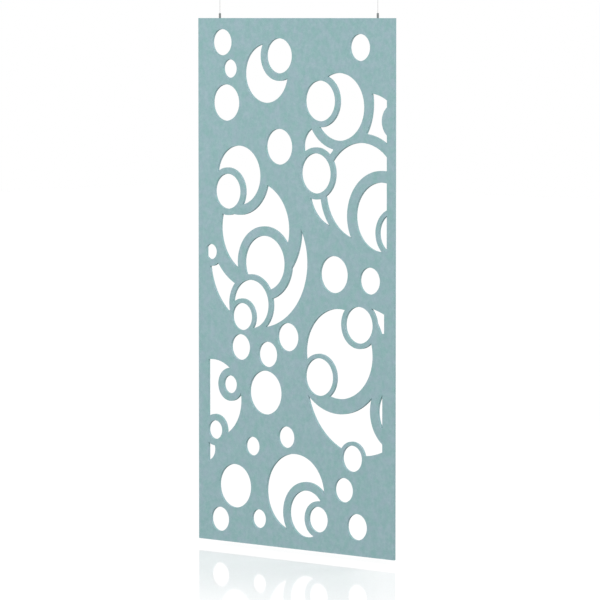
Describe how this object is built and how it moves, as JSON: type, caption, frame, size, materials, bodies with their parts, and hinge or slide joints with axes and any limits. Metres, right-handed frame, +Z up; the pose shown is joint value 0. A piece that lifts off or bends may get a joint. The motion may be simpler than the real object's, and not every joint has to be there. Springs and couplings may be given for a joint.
{
  "type": "hanging room divider panel",
  "caption": "Flat felt panel with a pattern of overlapping round bubble cut-outs, hung from the ceiling on two thin steel cables with push-button cable grippers.",
  "frame": {"origin": "on the ceiling plane, midway between the screw holes of the two ceiling fittings", "axes": "+X along the panel's width, to the right as seen from the front; +Y away from the viewer, through the panel's thickness; +Z up, towards the ceiling"},
  "size_m": [1.2, 0.016, 2.53],
  "materials": {
    "felt": "matte",
    "insert_brass": "satin",
    "stud_steel": "satin",
    "barrel_metal": "satin",
    "plunger_metal": "satin",
    "ball_steel": "polished",
    "spring_steel": "satin",
    "cable_steel": "satin",
    "end_ball_steel": "satin",
    "cap_metal": "satin",
    "base_metal": "satin"
  },
  "bodies": {
    "ceiling": {"ceiling_base_left": "base_metal", "ceiling_base_right": "base_metal", "ceiling_cap_left": "cap_metal", "ceiling_cap_right": "cap_metal"},
    "cables": {"steel_cable_left": "cable_steel", "steel_cable_right": "cable_steel", "cable_end_ball_left": "end_ball_steel", "cable_end_ball_right": "end_ball_steel"},
    "panel": {"felt_panel": "felt", "edge_insert_left": "insert_brass", "edge_insert_right": "insert_brass", "hollow_stud_left": "stud_steel", "hollow_stud_right": "stud_steel", "gripper_body_left": "barrel_metal", "gripper_body_right": "barrel_metal", "plunger_spring_left": "spring_steel", "plunger_spring_right": "spring_steel"},
    "release_left": {"release_plunger_left": "plunger_metal", "clamping_balls_left": "ball_steel"},
    "release_right": {"release_plunger_right": "plunger_metal", "clamping_balls_right": "ball_steel"}
  },
  "joints": [
    {"name": "swing", "type": "hinge", "parent": "ceiling", "child": "cables", "pos_m": [0, 0, -0.02], "axis": [1, 0, 0], "range_deg": [-6, 6]},
    {"name": "height", "type": "slide", "parent": "cables", "child": "panel", "axis": [0, 0, 1], "range_m": [0, 0.035]},
    {"name": "press_left", "type": "slide", "parent": "panel", "child": "release_left", "axis": [0, 0, -1], "range_m": [0, 0.0015], "stiffness_N_per_m": 400, "deforming": ["plunger_spring_left"]},
    {"name": "press_right", "type": "slide", "parent": "panel", "child": "release_right", "axis": [0, 0, -1], "range_m": [0, 0.0015], "stiffness_N_per_m": 400, "deforming": ["plunger_spring_right"]}
  ]
}
